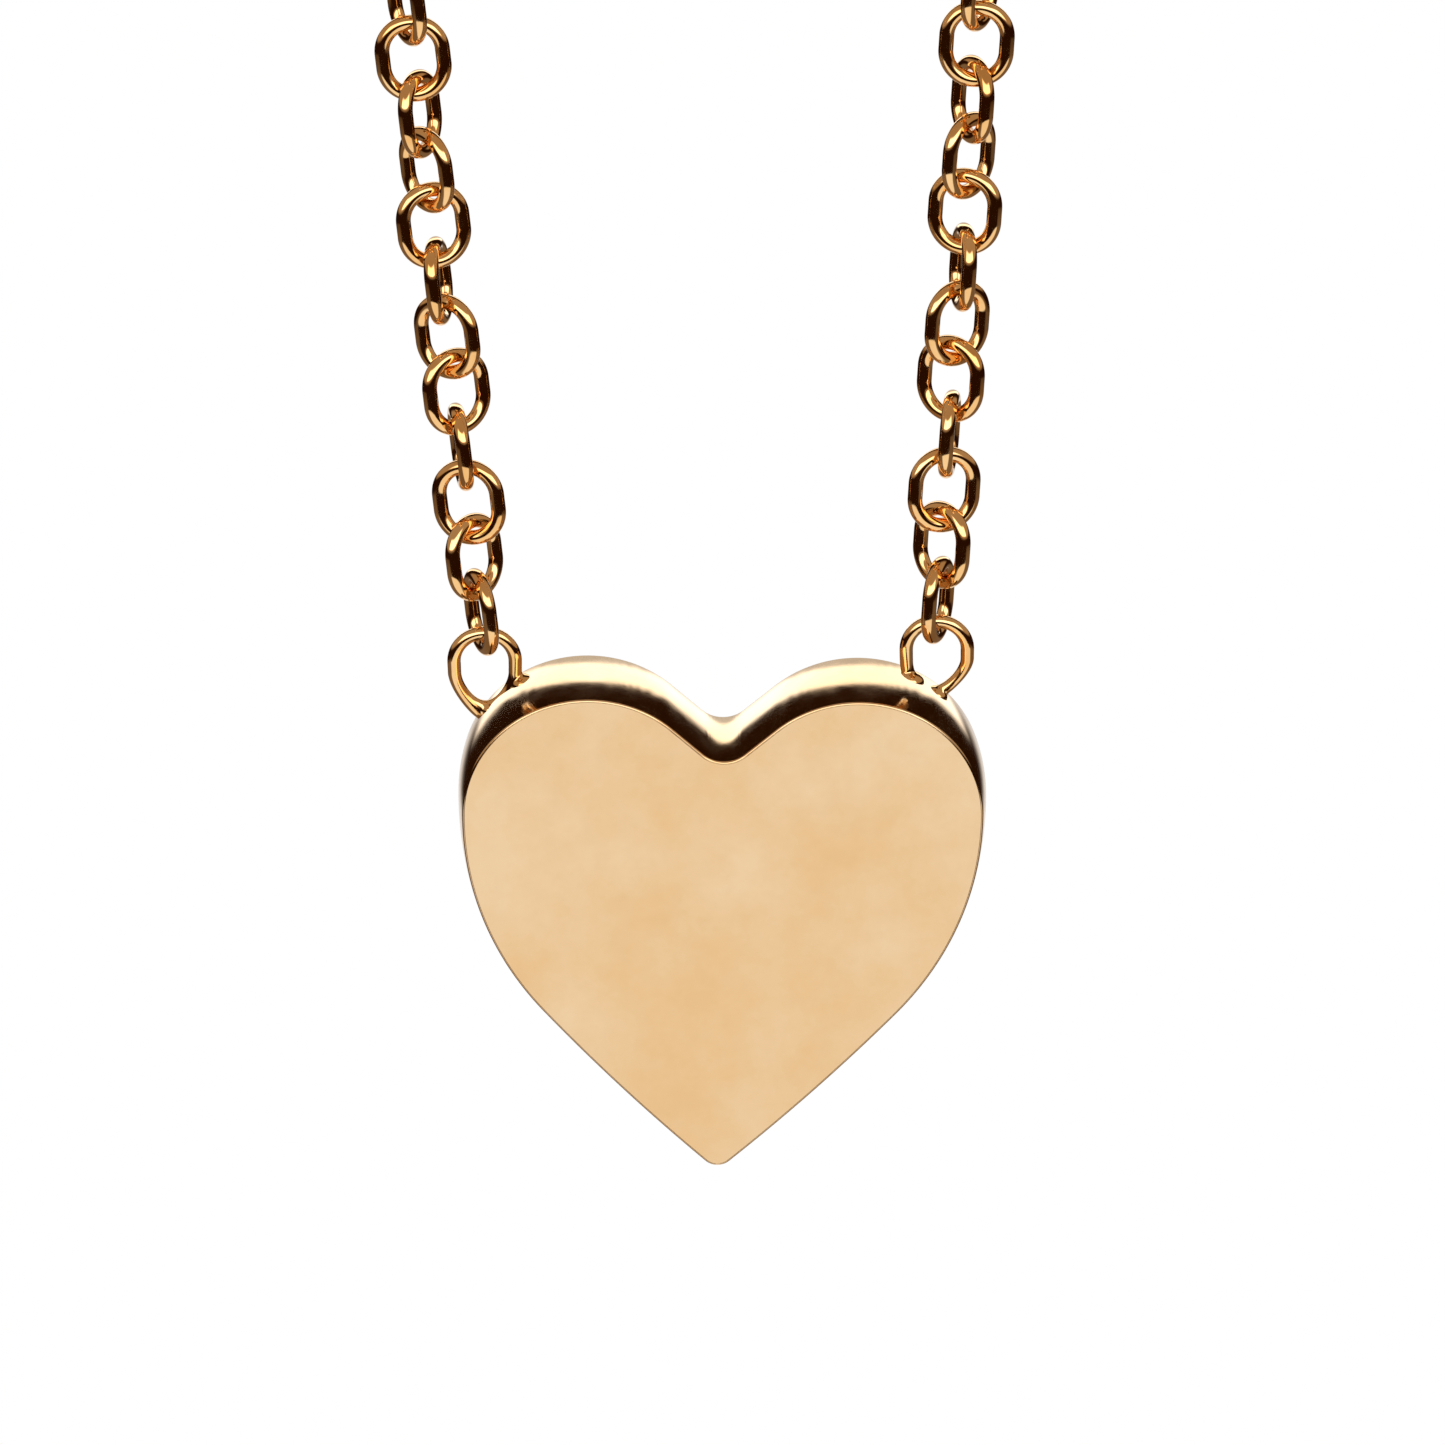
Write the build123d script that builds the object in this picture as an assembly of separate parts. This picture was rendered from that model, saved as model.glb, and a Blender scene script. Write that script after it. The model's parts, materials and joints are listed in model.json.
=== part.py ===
"""Heart pendant on a cable chain with a spring ring clasp, hanging from a neck.

Millimetres. +Z is up, the wearer's front is -Y, +X is to the right of someone
who faces the necklace. The origin is the centre of the neck that the chain
goes round. The two strands are mirror images. The heart hangs a little askew
between them, as its two rings are not soldered at quite the same height.
"""
from build123d import *
from math import atan2, cos, degrees, pi, radians, sin
import os

# Cable chain
WIRE = 0.30  # diameter of the link wire
LINK_WIDTH = 1.50  # outside
LINK_LENGTH = 1.80  # outside
LINK_PITCH = 1.165  # 0.035 less than the inside length, so that links can swing
LINKS_PER_SIDE = 170
SINGLE_LINKS = 11  # each of these, nearest the heart, moves by itself
SPANS_PER_SIDE = 6  # lengths of chain between those and the neck
NECK_LINKS = 23  # links per side that lie on the neck
NECK_RADIUS = 19.45  # of the chain's line where it goes round the neck
STRAND_LEAN = 5.0  # degrees from vertical
# Turn of each link about the strand's line, from the heart up, on the left.
# The strands are wound until their links jam, about 65 degrees apart, and relax higher up.
TWIST = (-72, 47, -17, -83, 31, -34, 80, 14, -50, 64, 0, -66)
# How far out some links sit from the strand's line, from the heart up.
SIDE_STEP = (0, 0, -0.03, 0, -0.05, 0, 0.04)
PLAY = 0.03  # gap left wherever one ring hangs in another

# Heart
HEART_THICK = 2.20
LOBE_RADIUS = 2.50
LOBE_X = 2.70  # centre of the right lobe's arc
LOBE_Z = 7.80  # above the tip
SIDE_RADIUS = 6.58  # the flank's arc, tangent to the lobe's
SIDE_SWEEP = 41.7  # degrees of that arc
CLEFT_SLOPE = 41.5  # degrees from horizontal
CLEFT_ROUND = 0.65
TIP_ROUND = 0.35
TIP_DROP = 0.10  # the corner before rounding lies this far under the tip
WALL_BULGE = 0.08  # how far the domed side wall stands out at its middle
RIM_DEPTH = 0.15  # how far the domed rim reaches into the slab
HEART_LEAN = 2.2  # degrees clockwise, seen from the front
HEART_TILT = 6.0  # degrees that the face looks down, as the heart's weight makes it
TIP_X = -0.14

# Rings soldered to the heart
RING_X = 4.52
RING_WIDTH = 1.50
RING_HEIGHT = 1.74
RING_WIRE = 0.26
RING_ABOVE_TIP = 10.45  # ring centre over the heart's tip
RING_SETBACK = 0.55  # ring plane behind the heart's mid plane

# Spring ring clasp, lying flat on the back of the neck
CLASP_X = 0.85
CLASP_Z = 19.21
CLASP_RADIUS = 2.30  # of the tube's centre line
TUBE_RADIUS = 0.60
BORE_RADIUS = 0.38
MOUTH = 35  # degrees from the clasp's +X to each end of the tube
BORE_SWEEP = 205  # degrees of bore behind the mouth that the bolt slides into
CATCH_SWEEP = 13  # degrees of bore that take the bolt's tip
BOLT_RADIUS = 0.33
BOLT_START = -43
BOLT_END = 60
NUB_ANGLE = 50
NUB_RADIUS = 2.90
NUB_SIZE = (0.75, 0.30, 0.24)
SLOT_START = 46
SLOT_SWEEP = 78
SLOT_HEIGHT = 0.34
SLOT_FLOOR = 2.45  # the slot opens the tube's wall outwards from this radius
SPRING_RADIUS = 0.23
SPRING_WIRE = 0.14
SPRING_TURNS = 12
SPRING_GAP = 1.5  # degrees free at each end
POINTS_PER_TURN = 8
EYE_RADIUS = 0.70
EYE_WIRE = 0.45
EYE_X = -3.65  # from the clasp's centre
JUMP_RADIUS = 0.95
JUMP_WIRE = 0.40
JUMP_SLOPE = 13.5  # degrees down from the clasp, round the neck
END_RADIUS = 1.20
END_WIRE = 0.45
END_SLOPE = 9.9

# Worked out from those
WIRE_TO_CENTRE = (LINK_LENGTH - WIRE) / 2
ARC_LENGTH = NECK_RADIUS * radians(90 + STRAND_LEAN)
JUMP_STEP = (EYE_WIRE + JUMP_WIRE) / 2 + PLAY
EYE_FAR_X = CLASP_X + EYE_X - EYE_RADIUS


def oval_ring(width, height, wire):
    """A closed oval ring of round wire in the XZ plane, centred on the origin."""
    outline = Plane.XZ * Rot(Z=90) * SlotCenterToCenter(height - width, width - wire)
    path = outline.wire()
    section = Plane(origin=path @ 0, z_dir=path % 0) * Circle(wire / 2)
    return sweep(section, path=path)


def round_ring(radius, wire):
    """A closed round ring in the XZ plane, centred on the origin."""
    return Rot(X=90) * Torus(radius, wire / 2)


def arc_bar(radius, start, turn, section):
    """A bar of the given section along an arc in the XY plane. The section's X is along +Z."""
    path = CenterArc((0, 0, 0), radius, start, turn)
    return sweep(Plane(origin=path @ 0, x_dir=(0, 0, 1), z_dir=path % 0) * section, path=path)


def on_path(distance):
    """The chain's line at a distance from the top of the neck: x, z and slope down."""
    if distance < ARC_LENGTH:
        slope = distance / NECK_RADIUS
        return NECK_RADIUS * sin(slope), NECK_RADIUS * cos(slope), degrees(slope)
    lean = radians(STRAND_LEAN)
    straight = distance - ARC_LENGTH
    x = NECK_RADIUS * cos(lean) - straight * sin(lean)
    z = -NECK_RADIUS * sin(lean) - straight * cos(lean)
    return x, z, 90 + STRAND_LEAN


def first_link_distance():
    """Where the first link's centre lies, from the top of the neck."""
    slope = radians(JUMP_SLOPE)
    reach = 2 * JUMP_RADIUS - JUMP_STEP - (JUMP_WIRE + WIRE) / 2 - PLAY
    x = reach * cos(slope) - EYE_FAR_X
    z = CLASP_Z - reach * sin(slope)
    return NECK_RADIUS * atan2(x, z) + WIRE_TO_CENTRE


def twist_of(number):
    """Turn of a link about the strand's line. Number 0 hangs in the heart's ring."""
    if number < len(TWIST):
        return TWIST[number]
    return 90 * (number % 2)


def link_place(number, side):
    """Where a link sits. side is 1 on the right and -1 on the left."""
    distance = first_link_distance() + (LINKS_PER_SIDE - 1 - number) * LINK_PITCH
    x, z, slope = on_path(distance)
    if number < len(SIDE_STEP):
        x += SIDE_STEP[number]
    return Pos(side * x, 0, z) * Rot(Y=side * (slope - 90)) * Rot(Z=-side * twist_of(number))


def heart_face():
    """The heart's outline, tip at the origin, as a flat face in the XY plane."""
    lobe = (LOBE_X, LOBE_Z)
    flank_x = LOBE_X + LOBE_RADIUS - SIDE_RADIUS
    flank = CenterArc((flank_x, LOBE_Z), SIDE_RADIUS, -SIDE_SWEEP, SIDE_SWEEP)
    low = TangentArc([flank @ 0, (0, -TIP_DROP)], tangent=(flank % 0) * -1)
    crown = CenterArc(lobe, LOBE_RADIUS, 0, 90 + CLEFT_SLOPE)
    top = crown @ 1
    drop = top.X * sin(radians(CLEFT_SLOPE)) / cos(radians(CLEFT_SLOPE))
    slant = Line(top, (0, top.Y - drop))
    right = [low, flank, crown, slant]
    left = [mirror(edge, about=Plane.YZ) for edge in right]
    face = make_face(Curve() + right + left)
    corners = face.vertices().filter_by_position(Axis.X, -0.001, 0.001).sort_by(Axis.Y)
    face = fillet(corners[0], TIP_ROUND)
    corners = face.vertices().filter_by_position(Axis.X, -0.001, 0.001).sort_by(Axis.Y)
    return fillet(corners[-1], CLEFT_ROUND)


def heart_solid():
    """The slab with a domed side wall, mid plane on XZ, tip at the origin."""
    upright = Plane.XZ * heart_face()
    slab = extrude(upright, HEART_THICK / 2, both=True)
    path = upright.wire()
    start = Plane(origin=path @ 0, z_dir=path % 0, x_dir=(0, 1, 0))
    half = HEART_THICK / 2
    outward = -1 if (start.y_dir.dot(path @ 0 - slab.center())) < 0 else 1
    rim = make_face(
        [
            ThreePointArc((-half, 0), (0, outward * WALL_BULGE), (half, 0)),
            Polyline((half, 0), (half, -outward * RIM_DEPTH), (-half, -outward * RIM_DEPTH), (-half, 0)),
        ]
    )
    return slab + sweep(start * rim, path=path)


def heart_group():
    """Heart and rings as they hang, each by name, with the ring tops' axis through the origin."""
    drop = (RING_HEIGHT - RING_WIRE) / 2
    heart = Pos(TIP_X, -RING_SETBACK, -drop - RING_ABOVE_TIP) * Rot(Y=HEART_LEAN) * heart_solid()
    ring = oval_ring(RING_WIDTH, RING_HEIGHT, RING_WIRE)
    parts = {"heart_body": heart}
    for name, side in (("left_ring", -1), ("right_ring", 1)):
        parts[name] = Pos(side * RING_X, 0, -drop) * ring - heart
    return parts


def clasp_parts():
    """The spring ring, its bolt, spring and eye, centred on the origin in the XY plane."""
    bore = Circle(BORE_RADIUS)
    body = arc_bar(CLASP_RADIUS, MOUTH, 360 - 2 * MOUTH, Circle(TUBE_RADIUS))
    body -= arc_bar(CLASP_RADIUS, MOUTH, BORE_SWEEP, bore)
    body -= arc_bar(CLASP_RADIUS, -MOUTH - CATCH_SWEEP, CATCH_SWEEP, bore)
    slot_depth = 2 * (CLASP_RADIUS + TUBE_RADIUS - SLOT_FLOOR)
    slot_middle = SLOT_FLOOR + slot_depth / 2
    body -= arc_bar(slot_middle, SLOT_START, SLOT_SWEEP, Rectangle(SLOT_HEIGHT, slot_depth))

    bolt = arc_bar(CLASP_RADIUS, BOLT_START, BOLT_END - BOLT_START, Circle(BOLT_RADIUS))
    bolt += Rot(Z=NUB_ANGLE) * Pos(NUB_RADIUS, 0, 0) * Box(*NUB_SIZE)

    first = BOLT_END + SPRING_GAP
    last = MOUTH + BORE_SWEEP - SPRING_GAP
    steps = SPRING_TURNS * POINTS_PER_TURN
    points = []
    for step in range(steps + 1):
        along = radians(first + (last - first) * step / steps)
        turn = 2 * pi * step / POINTS_PER_TURN
        reach = CLASP_RADIUS + SPRING_RADIUS * cos(turn)
        points.append((reach * cos(along), reach * sin(along), SPRING_RADIUS * sin(turn)))
    coil = Spline(points)
    spring = sweep(Plane(origin=coil @ 0, z_dir=coil % 0) * Circle(SPRING_WIRE / 2), path=coil)

    eye = Pos(EYE_X, 0, 0) * Torus(EYE_RADIUS, EYE_WIRE / 2) - Torus(CLASP_RADIUS, TUBE_RADIUS)
    return {"clasp_body": body, "clasp_bolt": bolt, "clasp_spring": spring, "clasp_eye": eye}


def jump_rings():
    """The ring that ties the chain to the clasp, and the ring that the clasp closes on."""
    slope = radians(JUMP_SLOPE)
    reach = JUMP_RADIUS - JUMP_STEP
    jump = Pos(EYE_FAR_X - reach * cos(slope), 0, CLASP_Z - reach * sin(slope))
    slope = radians(END_SLOPE)
    reach = END_RADIUS - BOLT_RADIUS - END_WIRE / 2 - PLAY
    end = Pos(CLASP_X + CLASP_RADIUS + reach * cos(slope), 0, CLASP_Z - reach * sin(slope))
    return {
        "left_jump_ring": jump * round_ring(JUMP_RADIUS, JUMP_WIRE),
        "right_end_ring": end * round_ring(END_RADIUS, END_WIRE),
    }


def chain_nodes():
    """Every link, by node: the single ones, the spans, and the lengths on the neck."""
    link = oval_ring(LINK_WIDTH, LINK_LENGTH, WIRE)
    hanging = LINKS_PER_SIDE - NECK_LINKS
    per_span = (hanging - SINGLE_LINKS) / SPANS_PER_SIDE
    edges = [SINGLE_LINKS + round(n * per_span) for n in range(SPANS_PER_SIDE + 1)]
    groups = {f"link_{n + 1:02d}": [n] for n in range(SINGLE_LINKS)}
    for n in range(SPANS_PER_SIDE):
        groups[f"chain_span_{n + 1}"] = range(edges[n], edges[n + 1])
    groups["neck_chain"] = range(hanging, LINKS_PER_SIDE)
    nodes = {}
    for word, side in (("left", -1), ("right", 1)):
        for name, numbers in groups.items():
            nodes[f"{word}_{name}"] = [link_place(n, side) * link for n in numbers]
    return nodes


def hang_point():
    """Centre of the ring tops' wire, in the plane x = 0."""
    lowest = first_link_distance() + (LINKS_PER_SIDE - 1) * LINK_PITCH + WIRE_TO_CENTRE
    place = on_path(lowest)
    return place[0], place[1] + (WIRE + RING_WIRE) / 2 + PLAY


os.makedirs("parts", exist_ok=True)
nodes = chain_nodes()
hang_x, hang_z = hang_point()
heart_parts = heart_group()
for name, solid in heart_parts.items():
    nodes[name] = [Pos(0, 0, hang_z) * Rot(X=HEART_TILT) * solid]
for name, solid in clasp_parts().items():
    nodes[name] = [Pos(CLASP_X, 0, CLASP_Z) * solid]
for name, solid in jump_rings().items():
    nodes[name] = [solid]
for name, solids in nodes.items():
    export_step(Compound(children=[s.solid() for s in solids]), f"parts/{name}.step")

weight_point = heart_parts["heart_body"].center(CenterOf.MASS)
print("strand ends at x", round(hang_x, 3), "and the ring tops at z", round(hang_z, 3))
print("level tilt of the heart", round(degrees(atan2(-weight_point.Y, -weight_point.Z)), 2))
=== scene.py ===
"""The heart necklace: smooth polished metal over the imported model, and a small studio."""
import json
from math import cos, pi, radians, sin
import bpy
import numpy as np
from mathutils import Matrix, Vector


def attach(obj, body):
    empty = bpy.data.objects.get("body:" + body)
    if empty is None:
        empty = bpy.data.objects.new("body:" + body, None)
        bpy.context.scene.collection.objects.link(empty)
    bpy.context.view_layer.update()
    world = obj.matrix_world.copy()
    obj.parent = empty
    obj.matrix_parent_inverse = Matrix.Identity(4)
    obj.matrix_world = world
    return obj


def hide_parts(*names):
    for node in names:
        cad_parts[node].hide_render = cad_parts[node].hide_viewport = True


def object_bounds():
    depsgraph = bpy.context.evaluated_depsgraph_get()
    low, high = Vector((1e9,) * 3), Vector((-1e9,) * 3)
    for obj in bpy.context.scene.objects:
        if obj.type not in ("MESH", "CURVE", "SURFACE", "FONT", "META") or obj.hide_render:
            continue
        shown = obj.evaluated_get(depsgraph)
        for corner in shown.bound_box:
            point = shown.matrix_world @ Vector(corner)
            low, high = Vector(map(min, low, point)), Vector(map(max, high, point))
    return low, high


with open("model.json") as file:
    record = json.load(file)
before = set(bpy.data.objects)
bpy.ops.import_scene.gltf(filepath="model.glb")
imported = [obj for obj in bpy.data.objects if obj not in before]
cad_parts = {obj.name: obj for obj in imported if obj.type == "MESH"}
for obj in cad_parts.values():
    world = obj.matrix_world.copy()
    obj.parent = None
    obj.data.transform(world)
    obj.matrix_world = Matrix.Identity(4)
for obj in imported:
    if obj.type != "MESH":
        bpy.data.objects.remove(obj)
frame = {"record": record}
cad_box = [[float(v) for v in corner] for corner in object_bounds()]
MM = 0.001
record = frame["record"]
joints = {joint["name"]: joint for joint in record["behaviour"]["joints"]}
mounts = {mount["name"]: mount for mount in record["mounts"]}
slots = {part["node"]: part["material_slot"] for part in record["subparts"]}
body_of = {node: body for body, nodes in record["behaviour"]["bodies"].items() for node in nodes}

# Sizes, in metres
WIRE = 0.30 * MM
LINK_WIDTH = 1.50 * MM
LINK_LENGTH = 1.80 * MM
RING_WIDTH = 1.50 * MM
RING_HEIGHT = 1.74 * MM
RING_WIRE = 0.26 * MM
RING_X = 4.52 * MM
RING_ABOVE_TIP = 10.45 * MM
RING_SETBACK = 0.55 * MM
TIP_X = -0.14 * MM
HEART_THICK = 2.20 * MM
HEART_LEAN = radians(2.2)
LOBE_RADIUS = 2.50 * MM
LOBE_X = 2.70 * MM
LOBE_Z = 7.80 * MM
SIDE_RADIUS = 6.58 * MM
SIDE_SWEEP = radians(41.7)
CLEFT_SLOPE = radians(41.5)
CLEFT_ROUND = 0.65 * MM
TIP_ROUND = 0.35 * MM
TIP_DROP = 0.10 * MM
WALL_BULGE = 0.08 * MM
FRONT_EDGE = 0.05 * MM
BACK_EDGE = 0.10 * MM
# How far each ring is drawn down to its solder: across and down
RING_DRAW = {"left_ring": (0, 0.34 * MM), "right_ring": (-0.26 * MM, 0.24 * MM)}
# Solder beads on each shoulder: degrees round the lobe, depth, then half sizes along, through and out
SOLDER = {
    "left_ring": (
        (58, 0.50 * MM, (0.22 * MM, 0.24 * MM, 0.15 * MM)),
        (38, 0.52 * MM, (0.15 * MM, 0.20 * MM, 0.12 * MM)),
    ),
    "right_ring": (
        (65, 0.50 * MM, (0.26 * MM, 0.26 * MM, 0.16 * MM)),
        (51, 0.50 * MM, (0.22 * MM, 0.22 * MM, 0.14 * MM)),
    ),
}
SOLDER_DEPTH = 0.05 * MM  # how far the beads' middles lie under the wall
RING_SWELL = 1.06  # the rings' wire before it is smoothed thinner, against RING_WIRE
RING_NARROWING = 0.30  # how much narrower each ring is at its foot
MELT_GRAIN = 0.022 * MM
MELT_ROUNDS = 8

# The studio's light. Each part has a strength, and pairs of angles between which it comes or goes, in
# degrees: round from straight behind, or elevations where it says so
CARD_RISE = 2  # elevation of the middle of the bright card behind
CARD_SQUEEZE = 1.33  # how much narrower the card is across than up
CARD_MIDDLE, CARD_RIM = 0.62, 1.3  # the rim's strength comes on top of the middle's
CARD_RIM_START, CARD_END = (19, 22), (33.5, 35.5)
HORIZON = (-8, 0)  # elevations, where the low card meets the card above it
LOW_CARD, LOW_CARD_EDGE = 0.75, (12, 24)
ROOM, ROOM_START, ROOM_FOOT = 0.36, (52, 66), (0, 10)  # the last is elevations
FRONT_START = (118, 135)
FRONT_BOX, FRONT_BOX_FOOT, FRONT_BOX_TOP = 2.2, (9, 13), (32, 42)  # elevations
FRONT_FLOOR, FRONT_FLOOR_EDGE = 1.0, (-26, -23)  # elevations
SIDE_FLOOR, SIDE_FLOOR_EDGE = 0.16, (-26, -14)  # elevations
WARM_TINT = (1.10, 0.84, 0.60)  # of the room and the side floor
DARK_GLOW = (0.020, 0.006, 0.001)  # added everywhere, so that the dark parts aren't black
WORLD_COLOUR = (0.026, 0.009, 0.002, 1)
LIGHT_BELOW_HINGE = 5.5 * MM  # the middle of the light, at about the middle of the heart
SHELL_RADIUS = 0.6
DOME_RADIUS = 12
FLOOR_HALF = 6
FLOOR_DROP = 0.08  # how far the floor lies under the necklace

# Camera
CAMERA_RISE = radians(19)
CAMERA_ROLL = radians(1.5)
CAMERA_AWAY = 0.45
VIEW_HEIGHT = 28.9 * MM
AIM_X = 0.20 * MM
AIM_BELOW_RINGS = 1.29 * MM
SENSOR_MM = 36


# Mesh helpers ---------------------------------------------------------------

def mesh_piece(name, points, faces, material, body, replaced=(), smooth=True):
    """A mesh object that rides on a body and takes the place of CAD nodes."""
    mesh = bpy.data.meshes.new(name)
    mesh.from_pydata([tuple(p) for p in points], [], [tuple(f) for f in faces])
    mesh.validate()
    mesh.polygons.foreach_set("use_smooth", [smooth] * len(mesh.polygons))
    mesh.materials.append(material)
    mesh.update()
    piece = bpy.data.objects.new(name, mesh)
    bpy.context.scene.collection.objects.link(piece)
    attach(piece, body)
    if replaced:
        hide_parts(*replaced)
    return piece


def tube_faces(rings, sides, closed):
    """Quads between rings of points, which follow each other in the point list."""
    faces = []
    for ring in range(rings if closed else rings - 1):
        after = (ring + 1) % rings
        for side in range(sides):
            turn = (side + 1) % sides
            here, there = ring * sides, after * sides
            faces.append((here + side, here + turn, there + turn, there + side))
    return faces


def oval_line(width, height, wire, steps):
    """Evenly turned points round an oval in the XZ plane, and the outward direction at each."""
    radius = (width - wire) / 2
    rise = (height - width) / 2
    points, outward = [], []
    for step in range(steps):
        turn = 2 * pi * (step + 0.5) / steps
        points.append((radius * cos(turn), 0, radius * sin(turn) + (rise if sin(turn) > 0 else -rise)))
        outward.append((cos(turn), 0, sin(turn)))
    return np.array(points), np.array(outward)


def oval_ring(width, height, wire, steps, sides):
    """Points and faces of an oval ring of round wire."""
    line, outward = oval_line(width, height, wire, steps)
    turns = 2 * pi * np.arange(sides) / sides
    across = np.cos(turns)[None, :, None] * outward[:, None, :]
    deep = np.sin(turns)[None, :, None] * np.array((0.0, 1.0, 0.0))
    points = line[:, None, :] + wire / 2 * (across + deep)
    return points.reshape(-1, 3), tube_faces(steps, sides, True)


def moved(points, matrix):
    """Points after a 4 by 4 matrix."""
    matrix = np.array(matrix)
    return points @ matrix[:3, :3].T + matrix[:3, 3]


# Where each link lies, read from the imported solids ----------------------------

def separate_links(node):
    """The triangles of each link of a chain node, as arrays of corners."""
    mesh = bpy.data.objects[node].data
    mesh.calc_loop_triangles()
    points = np.array([v.co for v in mesh.vertices])
    corners = np.array([t.vertices[:] for t in mesh.loop_triangles])
    _, same = np.unique(np.round(points, 8), axis=0, return_inverse=True)
    group = np.arange(same.max() + 1)
    corners_same = same.reshape(-1)[corners]
    while True:
        lowest = group[corners_same].min(axis=1)
        before = group.copy()
        for column in range(3):
            np.minimum.at(group, corners_same[:, column], lowest)
        if (group == before).all():
            break
    label = group[corners_same[:, 0]]
    return [points[corners[label == one]] for one in np.unique(label)]


def link_matrix(triangles):
    """The place of one link: X across it, Y through it, Z along it."""
    a, b, c = triangles[:, 0], triangles[:, 1], triangles[:, 2]
    area = np.linalg.norm(np.cross(b - a, c - a), axis=1)
    middle = (a + b + c) / 3
    centre = (middle * area[:, None]).sum(axis=0) / area.sum()
    spread = ((middle - centre) * area[:, None]).T @ (middle - centre)
    _, axes = np.linalg.eigh(spread)
    along, across = axes[:, 2], axes[:, 1]
    matrix = np.eye(4)
    matrix[:3, 2] = along
    matrix[:3, 0] = across
    matrix[:3, 1] = np.cross(along, across)
    matrix[:3, 3] = centre
    return matrix


# Materials ------------------------------------------------------------------

def gold(name, colour, deep, roughness, grain, mottle):
    """Polished gold plate: faint warm patches, fine polishing marks and a soft ripple."""
    material = bpy.data.materials.new(name)
    material.use_nodes = True
    nodes, links = material.node_tree.nodes, material.node_tree.links
    shader = nodes["Principled BSDF"]
    shader.inputs["Metallic"].default_value = 1.0
    place = nodes.new("ShaderNodeTexCoord")

    patches = nodes.new("ShaderNodeTexNoise")
    patches.inputs["Scale"].default_value = mottle
    patches.inputs["Detail"].default_value = 5
    patches.inputs["Roughness"].default_value = 0.6
    links.new(place.outputs["Object"], patches.inputs["Vector"])
    ramp = nodes.new("ShaderNodeValToRGB")
    ramp.color_ramp.elements[0].position = 0.32
    ramp.color_ramp.elements[0].color = (*deep, 1)
    ramp.color_ramp.elements[1].position = 0.62
    ramp.color_ramp.elements[1].color = (*colour, 1)
    links.new(patches.outputs["Fac"], ramp.inputs["Fac"])
    links.new(ramp.outputs["Color"], shader.inputs["Base Color"])

    marks = nodes.new("ShaderNodeTexNoise")
    marks.inputs["Scale"].default_value = grain
    marks.inputs["Detail"].default_value = 6
    links.new(place.outputs["Object"], marks.inputs["Vector"])
    gloss = nodes.new("ShaderNodeMapRange")
    gloss.inputs["From Min"].default_value = 0.3
    gloss.inputs["From Max"].default_value = 0.7
    gloss.inputs["To Min"].default_value = roughness * 0.7
    gloss.inputs["To Max"].default_value = roughness * 1.3
    links.new(marks.outputs["Fac"], gloss.inputs["Value"])
    links.new(gloss.outputs["Result"], shader.inputs["Roughness"])

    bump = nodes.new("ShaderNodeBump")
    bump.inputs["Strength"].default_value = 0.12
    bump.inputs["Distance"].default_value = 0.01 * MM
    links.new(marks.outputs["Fac"], bump.inputs["Height"])
    links.new(bump.outputs["Normal"], shader.inputs["Normal"])
    return material


HEART_GOLD = gold("heart_gold", (0.84, 0.61, 0.365), (0.80, 0.525, 0.26), 0.10, 2600, 380)
CHAIN_GOLD = gold("chain_gold", (0.93, 0.61, 0.29), (0.86, 0.47, 0.16), 0.07, 5000, 900)
CLASP_GOLD = gold("clasp_gold", (0.90, 0.64, 0.36), (0.85, 0.56, 0.28), 0.11, 3500, 700)
SPRING_STEEL = gold("spring_steel", (0.62, 0.60, 0.57), (0.5, 0.48, 0.45), 0.2, 5000, 900)


# Chain ----------------------------------------------------------------------

def smooth_chain():
    """Each chain node again, with round smooth wire."""
    for node in sorted(slots):
        single = "_link_" in node
        if not single and "chain" not in node:
            continue
        steps, sides = (120, 32) if single else (48, 14)
        ring, faces = oval_ring(LINK_WIDTH, LINK_LENGTH, WIRE, steps, sides)
        points, quads = [], []
        for triangles in separate_links(node):
            quads += [tuple(c + len(points) * len(ring) for c in face) for face in faces]
            points.append(moved(ring, link_matrix(triangles)))
        points = np.concatenate(points)
        mesh_piece(node + "_wire", points, quads, CHAIN_GOLD, body_of[node], [node])


# Heart ----------------------------------------------------------------------

def arc(centre, radius, start, end, outward=1):
    """Points every 0.02 mm along an arc, and the way out of the metal at each."""
    count = max(4, int(abs(end - start) * radius / (0.02 * MM)))
    angles = np.linspace(start, end, count)
    ways = np.stack([np.cos(angles), np.sin(angles)], axis=1)
    return np.array(centre) + radius * ways, outward * ways


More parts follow.
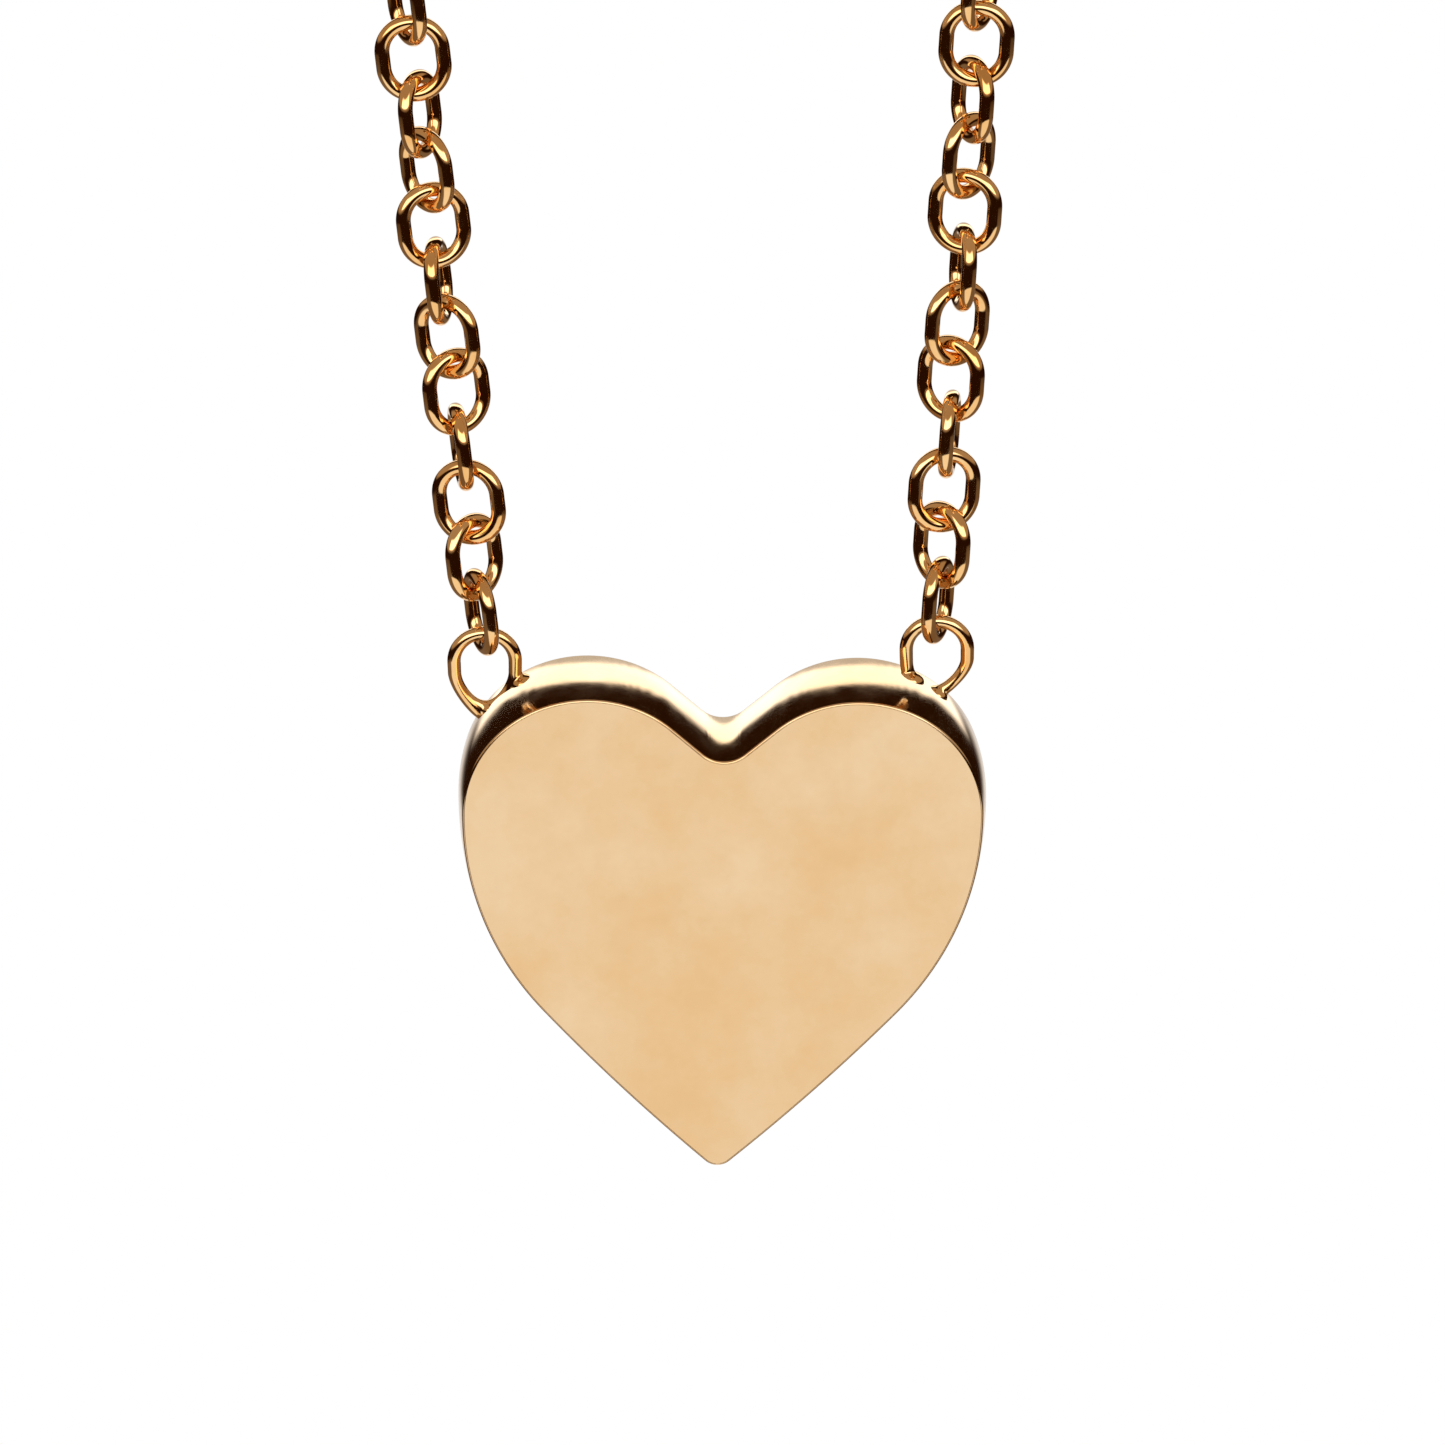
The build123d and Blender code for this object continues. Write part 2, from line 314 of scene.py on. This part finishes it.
def heart_outline():
    """The closed outline, tip at the origin, and the way out of the metal at each point."""
    flank = np.array((LOBE_X + LOBE_RADIUS - SIDE_RADIUS, LOBE_Z))
    way = np.array((cos(SIDE_SWEEP), -sin(SIDE_SWEEP)))
    corner = flank + SIDE_RADIUS * way
    to_tip = np.array((0, -TIP_DROP)) - corner
    low_radius = -(to_tip @ to_tip) / (2 * to_tip @ way)
    low = corner - low_radius * way
    tip_z = low[1] - ((low_radius - TIP_ROUND) ** 2 - low[0] ** 2) ** 0.5
    tip_way = np.array((0, tip_z)) - low
    meet = np.arctan2(tip_way[1], tip_way[0])
    crown_end = np.array((LOBE_X, LOBE_Z)) + LOBE_RADIUS * np.array((-sin(CLEFT_SLOPE), cos(CLEFT_SLOPE)))
    cleft_z = crown_end[1] - crown_end[0] * sin(CLEFT_SLOPE) / cos(CLEFT_SLOPE)
    cleft = (0, cleft_z + CLEFT_ROUND / cos(CLEFT_SLOPE))
    foot = np.array(cleft) + CLEFT_ROUND * np.array((sin(CLEFT_SLOPE), -cos(CLEFT_SLOPE)))
    slant = np.linspace(crown_end, foot, 60)[1:-1]
    up = np.array((-sin(CLEFT_SLOPE), cos(CLEFT_SLOPE)))
    stretches = [
        arc((0, tip_z), TIP_ROUND, -pi / 2, meet),
        arc(low, low_radius, meet, -SIDE_SWEEP),
        arc(flank, SIDE_RADIUS, -SIDE_SWEEP, 0),
        arc((LOBE_X, LOBE_Z), LOBE_RADIUS, 0, pi / 2 + CLEFT_SLOPE),
        (slant, np.tile(up, (len(slant), 1))),
        arc(cleft, CLEFT_ROUND, -pi / 2 + CLEFT_SLOPE, -pi / 2, -1),
    ]
    points = np.concatenate([stretch[0][1:] for stretch in stretches])
    ways = np.concatenate([stretch[1][1:] for stretch in stretches])
    mirror = np.array((-1, 1))
    points = np.concatenate([points, points[-2::-1] * mirror])
    ways = np.concatenate([ways, ways[-2::-1] * mirror])
    return points, ways


def heart_section():
    """The wall from the front face to the back: how far out of the outline, and the depth."""
    wall_steps, edge_steps = 40, 7
    half = HEART_THICK / 2
    radius = (half**2 + WALL_BULGE**2) / (2 * WALL_BULGE)
    depths = np.linspace(-half + FRONT_EDGE, half - BACK_EDGE, wall_steps)
    outs = (radius**2 - depths**2) ** 0.5 - radius + WALL_BULGE
    profile = []
    for turn in np.linspace(0, pi / 2, edge_steps)[:-1]:
        profile.append((outs[0] + FRONT_EDGE * (sin(turn) - 1), -half + FRONT_EDGE * (1 - cos(turn))))
    profile += zip(outs, depths)
    for turn in np.linspace(pi / 2, 0, edge_steps)[1:]:
        profile.append((outs[-1] + BACK_EDGE * (sin(turn) - 1), half - BACK_EDGE * (1 - cos(turn))))
    return profile


def heart_places():
    """The matrix of the hinge through the ring tops, and of the heart's own frame."""
    hang = joints["heart_swing"]["pos_m"]
    axis = mounts["heart_back"]["axis"]
    tilt = Matrix.Rotation(np.arctan2(axis[2], axis[1]), 4, "X")
    hinge = Matrix.Translation(hang) @ tilt
    drop = (RING_HEIGHT - RING_WIRE) / 2
    tip = Matrix.Translation((TIP_X, -RING_SETBACK, -drop - RING_ABOVE_TIP))
    return hinge, hinge @ tip @ Matrix.Rotation(HEART_LEAN, 4, "Y")


def smooth_heart(place):
    """The slab: flat faces, crisp front edge, domed side wall."""
    outline, ways = heart_outline()
    section = heart_section()
    rings = []
    for out, depth in section:
        flat = outline + ways * out
        rings.append(np.stack([flat[:, 0], np.full(len(flat), depth), flat[:, 1]], axis=1))
    sides = len(outline)
    faces = tube_faces(len(section), sides, False)
    faces.append(tuple(range(sides)))
    last = (len(section) - 1) * sides
    faces.append(tuple(range(last, last + sides))[::-1])
    points = moved(np.concatenate(rings), place)
    piece = mesh_piece("heart_slab", points, faces, HEART_GOLD, "heart", ["heart_body"])
    for face in list(piece.data.polygons)[-2:]:
        face.use_smooth = False
    return piece


def solder_bead(centre, sizes, slope):
    """Points and faces of an egg shaped bead: its three half sizes, turned down by slope."""
    rows, around = 11, 24
    points = []
    for row in range(1, rows + 1):
        for n in range(around):
            rise, turn = pi * row / (rows + 1), 2 * pi * n / around
            points.append((sin(rise) * cos(turn), sin(rise) * sin(turn), cos(rise)))
    faces = tube_faces(rows, around, False)
    last = (rows - 1) * around
    faces += [tuple(range(around))[::-1], tuple(range(last, last + around))]
    shape = np.array(points) * np.array(sizes)
    turned = np.array(Matrix.Rotation(slope, 3, "Y"))
    return shape @ turned.T + np.array(centre), faces


def melted(points, faces, grain, rounds):
    """The shapes run together like solder: remeshed on a fine grid and smoothed."""
    scale = 1 / MM
    mesh = bpy.data.meshes.new("melt")
    mesh.from_pydata([tuple(p * scale) for p in points], [], faces)
    lump = bpy.data.objects.new("melt", mesh)
    bpy.context.scene.collection.objects.link(lump)
    remesh = lump.modifiers.new("remesh", "REMESH")
    remesh.mode = "VOXEL"
    remesh.voxel_size = grain * scale
    relax = lump.modifiers.new("relax", "SMOOTH")
    relax.iterations = rounds
    relax.factor = 0.5
    done = lump.evaluated_get(bpy.context.evaluated_depsgraph_get()).to_mesh()
    out_points = np.array([v.co[:] for v in done.vertices]) / scale
    out_faces = [tuple(p.vertices) for p in done.polygons]
    bpy.data.objects.remove(lump)
    bpy.data.meshes.remove(mesh)
    return out_points, out_faces


def soldered_rings(hinge, place):
    """Both rings, each melted together with the solder bead that joins it to the shoulder."""
    drop = (RING_HEIGHT - RING_WIRE) / 2
    to_hinge = np.linalg.inv(np.array(hinge)) @ np.array(place)
    for name, side in (("left_ring", -1), ("right_ring", 1)):
        ring, faces = oval_ring(RING_WIDTH, RING_HEIGHT, RING_WIRE * RING_SWELL, 120, 24)
        low = np.clip(-ring[:, 2] / (RING_HEIGHT / 2), 0, 1)
        across, down = RING_DRAW[name]
        ring[:, 0] = ring[:, 0] * (1 - RING_NARROWING * low**2) + across * low**2
        ring[:, 2] -= down * low**2
        points = [ring + np.array((side * RING_X, 0, -drop))]
        quads = list(faces)
        for at, depth, sizes in SOLDER[name]:
            outward = radians(at)
            reach = LOBE_RADIUS + WALL_BULGE - SOLDER_DEPTH
            spot = (side * (LOBE_X + reach * cos(outward)), depth, LOBE_Z + reach * sin(outward))
            spot = moved(np.array([spot]), to_hinge)[0]
            bead, bead_faces = solder_bead(spot, sizes, side * (pi / 2 - outward))
            count = sum(len(p) for p in points)
            quads += [tuple(c + count for c in face) for face in bead_faces]
            points.append(bead)
        points, quads = melted(np.concatenate(points), quads, MELT_GRAIN, MELT_ROUNDS)
        points = moved(points, hinge)
        wire = mesh_piece(name + "_wire", points, quads, CHAIN_GOLD, "heart", [name])
        wire.visible_glossy = False


# Studio -----------------------------------------------------------------------

def glowing(name):
    """A material that only gives white light."""
    material = bpy.data.materials.new(name)
    material.use_nodes = True
    nodes, links = material.node_tree.nodes, material.node_tree.links
    nodes.remove(nodes["Principled BSDF"])
    glow = nodes.new("ShaderNodeEmission")
    glow.inputs["Color"].default_value = (1, 1, 1, 1)
    glow.inputs["Strength"].default_value = 1.0
    links.new(glow.outputs["Emission"], nodes["Material Output"].inputs["Surface"])
    return material


def stage_sheet(name, points, faces, material, camera=True, gloss=True):
    """A sheet of the studio, not part of the necklace."""
    mesh = bpy.data.meshes.new(name)
    mesh.from_pydata([tuple(p) for p in points], [], faces)
    mesh.materials.append(material)
    sheet = bpy.data.objects.new(name, mesh)
    bpy.context.scene.collection.objects.link(sheet)
    sheet.visible_camera = camera
    sheet.visible_glossy = gloss
    sheet.visible_diffuse = gloss
    sheet.visible_shadow = False
    return sheet


def ramp_between(value, low, high):
    """0 below low, 1 above high, and smooth between."""
    part = np.clip((value - low) / (high - low), 0, 1)
    return part * part * (3 - 2 * part)


def shell_light(turn, rise):
    """Colour of the studio, by angle round from straight behind and by elevation, in degrees."""
    front = ramp_between(abs(turn), *FRONT_START)
    spread = np.hypot(CARD_SQUEEZE * turn * cos(radians(rise)), rise - CARD_RISE)
    card = CARD_MIDDLE + CARD_RIM * ramp_between(spread, *CARD_RIM_START)
    card *= (1 - ramp_between(spread, *CARD_END)) * ramp_between(rise, *HORIZON)
    low_card = LOW_CARD * (1 - ramp_between(abs(turn), *LOW_CARD_EDGE)) * (1 - ramp_between(rise, *HORIZON))
    room = ROOM * ramp_between(spread, *ROOM_START) * ramp_between(rise, *ROOM_FOOT)
    front_box = FRONT_BOX * ramp_between(rise, *FRONT_BOX_FOOT) * (1 - ramp_between(rise, *FRONT_BOX_TOP))
    front_box *= front
    front_floor = FRONT_FLOOR * (1 - ramp_between(rise, *FRONT_FLOOR_EDGE)) * front
    side_floor = SIDE_FLOOR * (1 - ramp_between(rise, *SIDE_FLOOR_EDGE)) * (1 - front)
    white = card + low_card + front_box + front_floor
    warm = room + side_floor
    return (*(white + tint * warm + dark for tint, dark in zip(WARM_TINT, DARK_GLOW)), 1)


def light_shell(centre, radius):
    """A sphere of soft light round the necklace that only the metal sees."""
    turns, rises = np.arange(-180, 181, 2), np.arange(-90, 91, 1)
    points, glow = [], []
    for rise in rises:
        for turn in turns:
            across = cos(radians(rise))
            way = (across * sin(radians(turn)), across * cos(radians(turn)), sin(radians(rise)))
            points.append(np.array(centre) + radius * np.array(way))
            glow.extend(float(part) for part in shell_light(turn, rise))
    wide = len(turns)
    starts = [row * wide + n for row in range(len(rises) - 1) for n in range(wide - 1)]
    faces = [(n, n + 1, n + wide + 1, n + wide) for n in starts]
    material = glowing("shell_glow")
    nodes, links = material.node_tree.nodes, material.node_tree.links
    level = nodes.new("ShaderNodeAttribute")
    level.attribute_name = "glow"
    links.new(level.outputs["Color"], nodes["Emission"].inputs["Color"])
    sheet = stage_sheet("light_shell", points, faces, material, camera=False)
    sheet.data.attributes.new("glow", "FLOAT_COLOR", "POINT").data.foreach_set("color", glow)


def studio(centre, floor_z):
    """A pale floor and backdrop for the camera, and a shell of soft light for the metal."""
    world = bpy.data.worlds.new("studio_dark")
    world.use_nodes = True
    world.node_tree.nodes["Background"].inputs["Color"].default_value = WORLD_COLOUR
    bpy.context.scene.world = world

    bpy.ops.mesh.primitive_uv_sphere_add(segments=64, ring_count=32, radius=DOME_RADIUS, location=centre)
    dome = bpy.context.object
    dome.name = "studio_dome"
    dome.data.materials.append(glowing("dome_white"))
    dome.visible_glossy = False
    dome.visible_diffuse = False
    dome.visible_shadow = False
    dome.visible_transmission = False

    light_shell(centre, SHELL_RADIUS)
    corners = ((-1, -1), (1, -1), (1, 1), (-1, 1))
    floor = [(x * FLOOR_HALF, y * FLOOR_HALF, floor_z) for x, y in corners]
    stage_sheet("floor", floor, [(0, 1, 2, 3)], glowing("pale_floor"), gloss=False)


def camera(rings_z):
    """A long lens in front and above, rolled a little."""
    aim = Vector((AIM_X, 0, rings_z - AIM_BELOW_RINGS))
    away = Vector((0, -cos(CAMERA_RISE), sin(CAMERA_RISE)))
    up = Vector((0, sin(CAMERA_RISE), cos(CAMERA_RISE)))
    side = Vector((1, 0, 0))
    right = side * cos(CAMERA_ROLL) - up * sin(CAMERA_ROLL)
    top = side * sin(CAMERA_ROLL) + up * cos(CAMERA_ROLL)
    data = bpy.data.cameras.new("camera")
    data.sensor_width = SENSOR_MM
    data.lens = SENSOR_MM * CAMERA_AWAY / VIEW_HEIGHT
    data.clip_start = 0.01
    data.clip_end = 60
    seen = bpy.data.objects.new("camera", data)
    bpy.context.scene.collection.objects.link(seen)
    turn = Matrix((right, top, away)).transposed().to_4x4()
    seen.matrix_world = Matrix.Translation(aim + away * CAMERA_AWAY) @ turn
    bpy.context.scene.camera = seen


hinge_place, heart_place = heart_places()
smooth_chain()
smooth_heart(heart_place)
soldered_rings(hinge_place, heart_place)
for node_name in ("clasp_body", "clasp_bolt", "clasp_eye", "left_jump_ring", "right_end_ring"):
    bpy.data.objects[node_name].material_slots[0].material = CLASP_GOLD
bpy.data.objects["clasp_spring"].material_slots[0].material = SPRING_STEEL

bpy.context.scene.view_settings.view_transform = "Standard"
hang_point = Vector(joints["heart_swing"]["pos_m"])
heart_centre = hang_point - Vector((0, 0, LIGHT_BELOW_HINGE))
studio(heart_centre, cad_box[0][2] - FLOOR_DROP)
camera(hang_point.z - (RING_HEIGHT - RING_WIRE) / 2)
